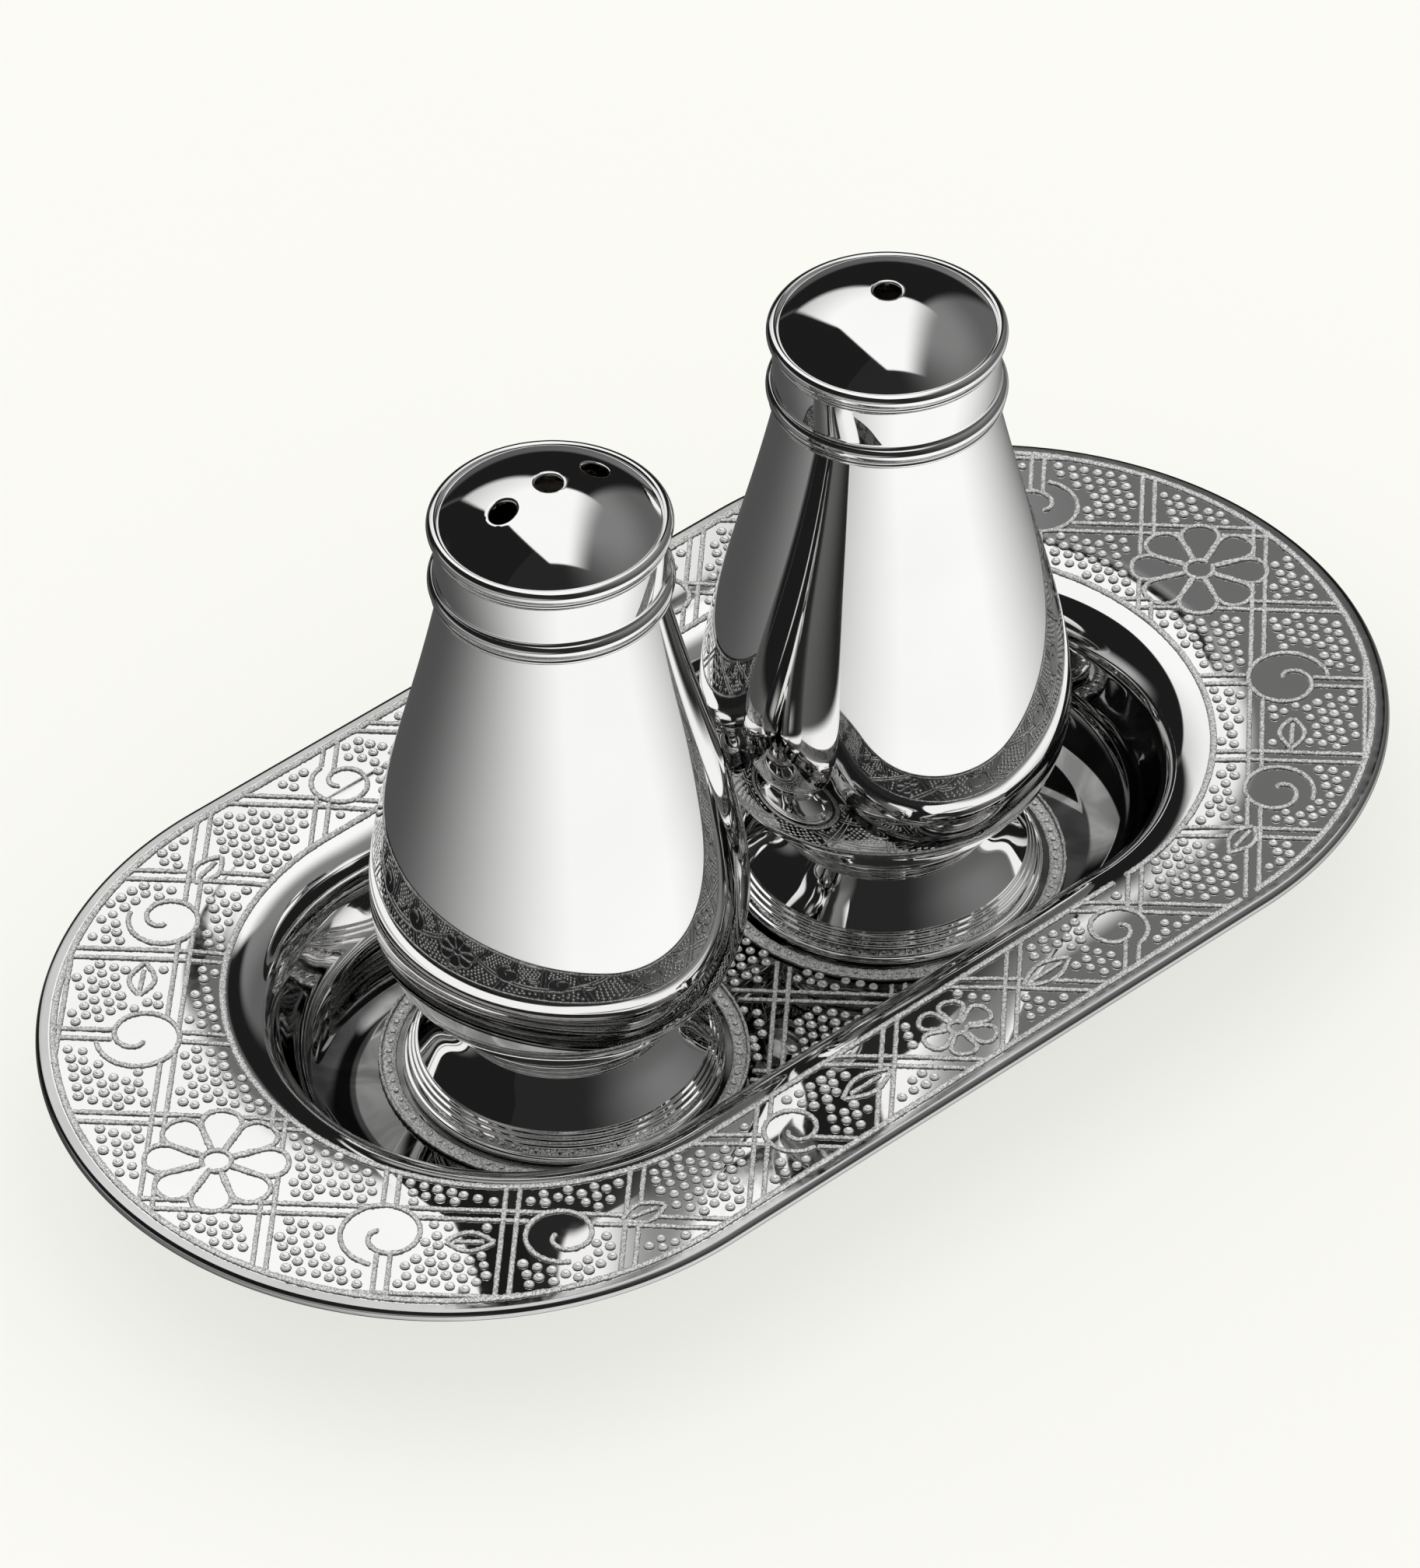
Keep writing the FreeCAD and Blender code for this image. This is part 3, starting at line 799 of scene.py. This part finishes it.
# ---- shaker pieces ----
def foot_base_outline():
    bead = arc((16.2, 0), (FOOT_RADIUS, 0.45), (16.2, 0.9), 16)
    steps = [(16.05, 0.95), (15.95, 1.85), (15.6, 1.95), (15.6, 2.35), (15.25, 2.45), (15.25, 2.8),
             (14.9, 2.9), (14.9, FOOT_RING_TOP), (FOOT_BORE, FOOT_RING_TOP), (FOOT_BORE, 0)]
    return soften(bead + steps)


def foot_flare_outline():
    outside = [(14.9, FOOT_RING_TOP), (13.6, 4.3), (12.2, 5.5), (FOOT_NECK_RADIUS, KNOP_BOTTOM)]
    inside = [(FOOT_NECK_RADIUS - 1.1, KNOP_BOTTOM), (11.65, 4.92), (13.1, 3.68), (14.0, FOOT_RING_TOP)]
    return smooth_curve(outside, 28) + smooth_curve(inside, 16)


def knop_outline():
    outline = [(KNOP_BORE, KNOP_BOTTOM)]
    lower = KNOP_BOTTOM
    for waist, crest, upper in ((10.9, 11.4, 8.2), (11.7, 12.2, 9.4), (12.6, 13.1, KNOP_TOP)):
        outline += arc((waist, lower), (crest, (lower + upper) / 2), (waist, upper), 14)
        lower = upper
    return soften(outline + [(KNOP_BORE, KNOP_TOP)])


def body_outline():
    outside = smooth_curve(BODY_OUTLINE, 110)
    inside = inset(BODY_OUTLINE, WALL)
    inside[0] = (13.0, KNOP_TOP + WALL)
    inside[-1] = (MOUTH_RADIUS - WALL, MOUTH_HEIGHT)
    bottom = [(0, KNOP_TOP + WALL), (0, KNOP_TOP)]
    return outside + smooth_curve(inside, 40)[::-1] + bottom


def collar_outline():
    spigot = MOUTH_RADIUS - WALL - 0.2
    low = MOUTH_HEIGHT - COLLAR_SPIGOT
    edge = COLLAR_RADIUS - 0.25
    rim = arc((edge, MOUTH_HEIGHT), (COLLAR_RADIUS, (MOUTH_HEIGHT + COLLAR_TOP) / 2), (edge, COLLAR_TOP), 9)
    bore = [(COLLAR_BORE, COLLAR_TOP), (COLLAR_BORE, low)]
    return soften(rim + bore + [(spigot, low), (spigot, MOUTH_HEIGHT)])


def lower_bead_outline():
    bead = arc((11.4, CAP_BOTTOM), (12.18, 64.05), (11.7, LOWER_BEAD_TOP), 20)
    return soften(bead + [(CAP_BORE, LOWER_BEAD_TOP), (CAP_BORE, CAP_BOTTOM)])


def band_outline():
    foot = arc((11.7, LOWER_BEAD_TOP), (11.53, 65.15), (BAND_RADIUS, 65.5), 8)
    head = arc((BAND_RADIUS, 69.2), (11.53, 69.5), (11.7, BAND_TOP), 8)
    return foot + head + [(CAP_BORE, BAND_TOP), (CAP_BORE, LOWER_BEAD_TOP)]


def top_bead_outline():
    foot = (11.55, BAND_TOP + 0.45)
    fillet_ring = arc((11.6, BAND_TOP), (11.8, BAND_TOP + 0.2), foot, 8)
    bead = arc(foot, (BEAD_RADIUS, 70.9), (11.5, 71.68), 20)[1:]
    roll = arc((11.5, 71.68), (11.25, 71.68), (DOME_BASE_RADIUS, DOME_BASE), 6)[1:]
    return soften(fillet_ring + bead + roll + [(CAP_BORE, DOME_BASE), (CAP_BORE, BAND_TOP)])


def dome_height(rho, drop=0.0):
    """Height of the dome's surface, or of a sphere parallel to it, above the shaker's foot."""
    rise = HEIGHT - DOME_BASE
    sphere = (DOME_BASE_RADIUS**2 + rise**2) / (2 * rise)
    return HEIGHT - sphere + np.sqrt((sphere - drop) ** 2 - np.asarray(rho) ** 2)


def dome_plan(hole_centres):
    """Flat triangles that cover the dome outside its holes, and each hole's rim points."""
    rim = HOLE_RADIUS + HOLE_ROUND
    rim_steps = 48
    flat = []
    edges = []
    rims = []
    for centre in hole_centres:
        first = len(flat)
        turn = np.linspace(0, 2 * math.pi, rim_steps, endpoint=False)
        for radius in (rim, rim + 0.2, rim + 0.45):
            flat += [(centre[0] + radius * math.cos(t), centre[1] + radius * math.sin(t)) for t in turn]
        rims.append(range(first, first + rim_steps))
        edges += [(first + i, first + (i + 1) % rim_steps) for i in range(rim_steps)]
    radii = np.linspace(DOME_BASE_RADIUS, 0, 32)[:-1]
    for index, radius in enumerate(radii):
        count = LATHE_STEPS if index == 0 else max(int(LATHE_STEPS * radius / DOME_BASE_RADIUS), 8)
        for angle in 2 * math.pi * (np.arange(count) + 0.5 * (index % 2)) / count:
            point = (radius * math.cos(angle), radius * math.sin(angle))
            gaps = [math.dist(point, centre) for centre in hole_centres]
            if min(gaps) > rim + 0.7:
                flat.append(point)
    result = geometry.delaunay_2d_cdt([Vector(p) for p in flat], edges, [], 0, 1e-6)
    points = np.array([tuple(p) for p in result[0]])
    back = {old: new for new, olds in enumerate(result[3]) for old in olds}
    rims = [[back[i] for i in ring] for ring in rims]
    faces = []
    for face in result[2]:
        middle = points[list(face)].mean(axis=0)
        if min(math.dist(middle, centre) for centre in hole_centres) > rim - 0.02:
            faces.append(list(face))
    return points, faces, rims


def strip(first, second):
    """Four-sided faces between two closed rings of point numbers."""
    count = len(first)
    return [[first[i], first[(i + 1) % count], second[(i + 1) % count], second[i]] for i in range(count)]


def hole_rings(centre, rim_points):
    """Rings of points that round one hole's rim over and down into the hole."""
    for angle in np.linspace(0, math.pi / 2, 8)[1:]:
        radius = HOLE_RADIUS + HOLE_ROUND * (1 - math.sin(angle))
        level = np.array(centre) + (rim_points - centre) * radius / (HOLE_RADIUS + HOLE_ROUND)
        drop = HOLE_ROUND * (1 - math.cos(angle))
        yield np.column_stack([level, dome_height(np.hypot(level[:, 0], level[:, 1])) - drop])


def skirt_rings(edge_points):
    """Rings of points of the hidden skirt, from the dome's edge down and back up inside."""
    turn = np.arctan2(edge_points[:, 1], edge_points[:, 0])
    for radius, height in ((DOME_SKIRT_RADIUS, DOME_BASE), (DOME_SKIRT_RADIUS, BAND_TOP),
                           (DOME_SKIRT_BORE, BAND_TOP)):
        yield np.column_stack([radius * np.cos(turn), radius * np.sin(turn), np.full(len(turn), height)])


def build_dome(name, axis_x, hole_distances, material, body):
    """Pierced dome of sheet metal with rounded hole rims and a hidden skirt."""
    across = (math.cos(HOLE_LINE_ANGLE), math.sin(HOLE_LINE_ANGLE))
    centres = [(d * across[0], d * across[1]) for d in hole_distances]
    flat, faces, rims = dome_plan(centres)
    rho = np.hypot(flat[:, 0], flat[:, 1])
    top = np.column_stack([flat, dome_height(rho)])
    shrink = 1 - 0.051 - 0.04 * (rho / DOME_BASE_RADIUS) ** 6
    under = np.column_stack([flat * shrink[:, None], dome_height(rho * shrink, WALL)])
    count = len(flat)
    points = [top, under]
    faces = faces + [[i + count for i in reversed(face)] for face in faces]
    edge = [i for i in range(count) if rho[i] > DOME_BASE_RADIUS - 1e-4]
    edge.sort(key=lambda i: math.atan2(flat[i, 1], flat[i, 0]))
    walls = [(ring, hole_rings(centre, flat[ring])) for centre, ring in zip(centres, rims)]
    walls.append((edge, skirt_rings(flat[edge])))
    total = 2 * count
    # each wall joins a ring of the top sheet to the same ring of the sheet below it
    for ring, levels in walls:
        previous = ring
        for level in levels:
            current = range(total, total + len(ring))
            total += len(ring)
            points.append(level)
            faces += strip(previous, current)
            previous = current
        faces += strip(previous, [i + count for i in ring])
    return make_piece(name, np.concatenate(points) + (axis_x, 0, FLOOR_TOP), faces, material, body, 50)


def build_shaker(prefix, axis_x, hole_distances, silver):
    shaker = prefix + "_shaker"
    cap = prefix + "_cap"
    turned_pieces = [
        ("foot_base_ring", foot_base_outline(), "turned_silver", shaker),
        ("foot_flare", foot_flare_outline(), "turned_silver", shaker),
        ("knop_rings", knop_outline(), "turned_silver", shaker),
        ("body_shell", body_outline(), "body_silver", shaker),
        ("neck_collar", collar_outline(), "turned_silver", shaker),
        ("cap_lower_bead", lower_bead_outline(), "turned_silver", cap),
        ("cap_band", band_outline(), "turned_silver", cap),
        ("cap_top_bead", top_bead_outline(), "turned_silver", cap),
    ]
    for node, outline, slot, body in turned_pieces:
        name = prefix + "_" + node
        piece = turned(name + "_fine", outline, axis_x, silver[slot], body)
        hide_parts(name)
    dome = build_dome(prefix + "_cap_dome_fine", axis_x, hole_distances, silver["dome_silver"], cap)
    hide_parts(prefix + "_cap_dome")


def finish_cad_node(name, material):
    """A hidden piece keeps its CAD mesh and takes a finish."""
    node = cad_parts[name]
    node.data.materials.clear()
    node.data.materials.append(material)


# ---- studio ----
VIEW_TURN = math.radians(47.4)  # azimuth of the direction straight away from the camera
TABLE_BRIGHT = math.radians(-92)  # azimuth at which the table top is brightest
DARK = 0.012  # tone of the black screen and of the dark left side
PATCH_TONE = 0.152
FILL_TONE = 0.42


class Tone:
    """A number that depends on the direction looked in. Each operation on it adds one node."""

    def __init__(self, tree, socket):
        self.tree = tree
        self.socket = socket

    def node(self, build, *values):
        sockets = [value.socket if isinstance(value, Tone) else value for value in values]
        return Tone(self.tree, build(self.tree, *sockets))

    def __add__(self, other):
        return self.node(math_node, "ADD", self, other)

    def __mul__(self, other):
        return self.node(math_node, "MULTIPLY", self, other)

    def __sub__(self, other):
        return self.node(math_node, "SUBTRACT", self, other)

    def __rsub__(self, other):
        return self.node(math_node, "SUBTRACT", other, self)

    def ramp(self, *settings):
        return self.node(ramp, self, *settings)

    def mix(self, first, second):
        """The first where this is 0, the second where it is 1."""
        return (1.0 - self) * first + self * second

    __radd__ = __add__
    __rmul__ = __mul__


def wall_tone(azimuth, height):
    """Grey wall from behind the camera's right shoulder round to the right, lighter with height."""
    return 0.02 + azimuth.ramp(-115, -20) * height.ramp(15, 45, 0.1, 0.2)


def card_mask(azimuth, height):
    """White card on the far side. Its left edge is sharp high up and soft low down."""
    edge = 85.0 + height.ramp(10, 38, 0, -34, False) + height.ramp(43.5, 44.5, 0, -6, False)
    sharp = height.ramp(41.8, 43.3)
    raised = height.ramp(30, 38)
    soft_from = sharp.mix(raised.mix(-4.5, -5.5), -0.4)
    soft_to = sharp.mix(raised.mix(6.0, -1.0), 0.4)
    end = 82.0 + height.ramp(10, 58, 0, 20, False)
    return (azimuth - edge).ramp(soft_from, soft_to) * (1.0 - (azimuth - end).ramp(0, 3))


def screen_mask(azimuth, height):
    """Black screen beside the card."""
    return azimuth.ramp(15, 24) * height.ramp(-20, -12) * (1.0 - height.ramp(46, 53))


def patch_mask(azimuth, height):
    """Grey patch on the screen, near the card's edge."""
    top = 43.3 + azimuth.ramp(45.8, 47.4, 3, 0)
    return azimuth.ramp(38, 42.5) * (1.0 - (height - top).ramp(-1.1, 0)) * height.ramp(32, 37)


def fill_tone(azimuth, height):
    """Low grey glow from the dark left side round to behind the camera."""
    low_band = height.ramp(-5, 3) * (1.0 - height.ramp(8, 22))
    return low_band * (azimuth.ramp(108, 132) + (1.0 - azimuth.ramp(-150, -118))) * FILL_TONE


def towards(x, y, azimuth):
    """How far the direction points towards an azimuth in radians."""
    return x * math.cos(azimuth) + y * math.sin(azimuth)


def overhead_mask(x, y, height):
    """Overhead light: a bowed edge on the left, a straight one by the camera, a soft one on the right."""
    from_middle = y + 0.04
    bow = -0.24 + from_middle * from_middle * 0.31
    straight = towards(x, y, VIEW_TURN).ramp(-0.35, -0.32)
    soft = 1.0 - towards(x, y, VIEW_TURN - math.pi / 2).ramp(0.18, 0.5)
    return height.ramp(43.6, 46.2) * straight * (x - bow).ramp(-0.012, 0.012) * soft


def table_tone(x, y):
    """Table top: brightest behind the camera's right shoulder, dimmest opposite."""
    length = x.node(math_node, "SQRT", x * x + y * y + 1e-6)
    facing = x.node(math_node, "DIVIDE", towards(x, y, TABLE_BRIGHT), length)
    bright = x.node(math_node, "POWER", facing.ramp(-1, 0.86, 0, 1, False), 1.5)
    return 0.08 + 0.92 * bright


def surroundings(tree):
    """What mirrors see in each direction. Azimuth and height are in degrees."""
    direction = tree.nodes.new("ShaderNodeTexCoord").outputs["Generated"]
    x, y, z = (Tone(tree, socket) for socket in parts(tree, direction))
    azimuth = x.node(math_node, "DEGREES", x.node(math_node, "ARCTAN2", y, x))
    height = x.node(math_node, "DEGREES", x.node(math_node, "ARCSINE", z))
    patched = patch_mask(azimuth, height).mix(DARK, PATCH_TONE)
    tone = screen_mask(azimuth, height).mix(wall_tone(azimuth, height), patched)
    left_side = azimuth.ramp(84, 90)
    tone = left_side.mix(tone, DARK) + fill_tone(azimuth, height)
    tone = card_mask(azimuth, height).mix(tone, height.ramp(5, 45, 0.45, 1.0, False))
    tone = overhead_mask(x, y, height).mix(tone, 1.0)
    return height.ramp(-11, -5).mix(table_tone(x, y), tone).socket


def studio_world():
    """The camera sees a plain backdrop, mirrors see the surroundings, and all else a pale room."""
    world = bpy.data.worlds.new("studio")
    bpy.context.scene.world = world
    world.use_nodes = True
    world.cycles.sampling_method = "NONE"
    tree = world.node_tree
    tree.nodes.clear()
    seen = surroundings(tree)
    path = tree.nodes.new("ShaderNodeLightPath")
    glow = tree.nodes.new("ShaderNodeCombineColor")
    for socket in glow.inputs:
        tree.links.new(seen, socket)
    pale = colour_between(tree, path.outputs["Is Camera Ray"], ROOM_LIGHT, BACKDROP)
    light = colour_between(tree, path.outputs["Is Glossy Ray"], pale, glow.outputs[0])
    background = tree.nodes.new("ShaderNodeBackground")
    output = tree.nodes.new("ShaderNodeOutputWorld")
    tree.links.new(light, background.inputs["Color"])
    tree.links.new(background.outputs[0], output.inputs["Surface"])


FLOOR_SIZE = 3000.0  # half the floor's side
FLOOR_LEVEL = -0.1  # just below the tray's underside
FLOOR_GLOW = 0.6  # share of the floor's tone that shadows don't darken


def studio_floor():
    """Plain pale floor. Its tone drifts very slightly, and its glow keeps the tray's shadow faint."""
    mesh = bpy.data.meshes.new("floor")
    plan = ((-1, -1), (1, -1), (1, 1), (-1, 1))
    corners = [(x * FLOOR_SIZE * MM, y * FLOOR_SIZE * MM, FLOOR_LEVEL * MM) for x, y in plan]
    mesh.from_pydata(corners, [], [(0, 1, 2, 3)])
    floor = new_object("floor", mesh)
    material, tree, shader = new_material("floor_pale")
    drift = ramp(tree, noise(tree, 4, 2), 0.3, 0.7)
    tone = colour_between(tree, drift, BACKDROP, tuple(0.995 * part for part in BACKDROP))
    reflecting = colour_between(tree, 1 - FLOOR_GLOW, (0.0, 0.0, 0.0), tone)
    tree.links.new(reflecting, shader.inputs["Base Color"])
    tree.links.new(tone, shader.inputs["Emission Color"])
    shader.inputs["Emission Strength"].default_value = FLOOR_GLOW
    shader.inputs["Roughness"].default_value = 1.0
    shader.inputs["Specular IOR Level"].default_value = 0.0
    mesh.materials.append(material)
    floor.visible_glossy = False


CAMERA_AZIMUTH = math.radians(-41.13)
CAMERA_ELEVATION = math.radians(41.55)
CAMERA_ROLL = math.radians(-0.71)
CAMERA_AIM = (6.09, 9.23, 15.4)
CAMERA_DISTANCE = 932.7
CAMERA_LENS = 207.0
SENSOR_WIDTH = 36


def studio_camera():
    """Camera at the fitted viewing angle, with a slight roll."""
    level = math.cos(CAMERA_ELEVATION)
    back = Vector((math.sin(CAMERA_AZIMUTH) * level, -math.cos(CAMERA_AZIMUTH) * level,
                   math.sin(CAMERA_ELEVATION)))
    right = Vector((math.cos(CAMERA_AZIMUTH), math.sin(CAMERA_AZIMUTH), 0))
    up = back.cross(right)
    right_rolled = right * math.cos(CAMERA_ROLL) + up * math.sin(CAMERA_ROLL)
    up_rolled = up * math.cos(CAMERA_ROLL) - right * math.sin(CAMERA_ROLL)
    lens = bpy.data.cameras.new("camera")
    lens.lens = CAMERA_LENS
    lens.sensor_width = SENSOR_WIDTH
    camera = new_object("camera", lens)
    turn = Matrix((right_rolled, up_rolled, back)).transposed().to_4x4()
    place = Vector(CAMERA_AIM) * MM + back * CAMERA_DISTANCE * MM
    camera.matrix_world = Matrix.Translation(place) @ turn
    bpy.context.scene.camera = camera


# ---- build ----
silver = {name: polished_silver(name) for name in
          ("body_silver", "dome_silver", "turned_silver", "disc_silver")}
silver["tray_silver"] = well_silver("tray_silver")
silver["wire_silver"] = wire_silver("wire_silver")
build_tray(silver)
build_relief(chased_silver("chased_silver"), punched_silver("punched_silver"))
build_shaker("pepper", -SHAKER_X, (-HOLE_SPACING, 0, HOLE_SPACING), silver)
build_shaker("salt", SHAKER_X, (0,), silver)
brass = thread_brass("thread_brass")
rubber = seal_rubber("seal_rubber")
for shaker_name in ("pepper", "salt"):
    finish_cad_node(shaker_name + "_foot_base_disc", silver["disc_silver"])
    finish_cad_node(shaker_name + "_neck_thread_ring", brass)
    finish_cad_node(shaker_name + "_cap_thread_ring", brass)
    finish_cad_node(shaker_name + "_cap_seal", rubber)

studio_world()
studio_floor()
studio_camera()
bpy.context.scene.view_settings.view_transform = "Standard"
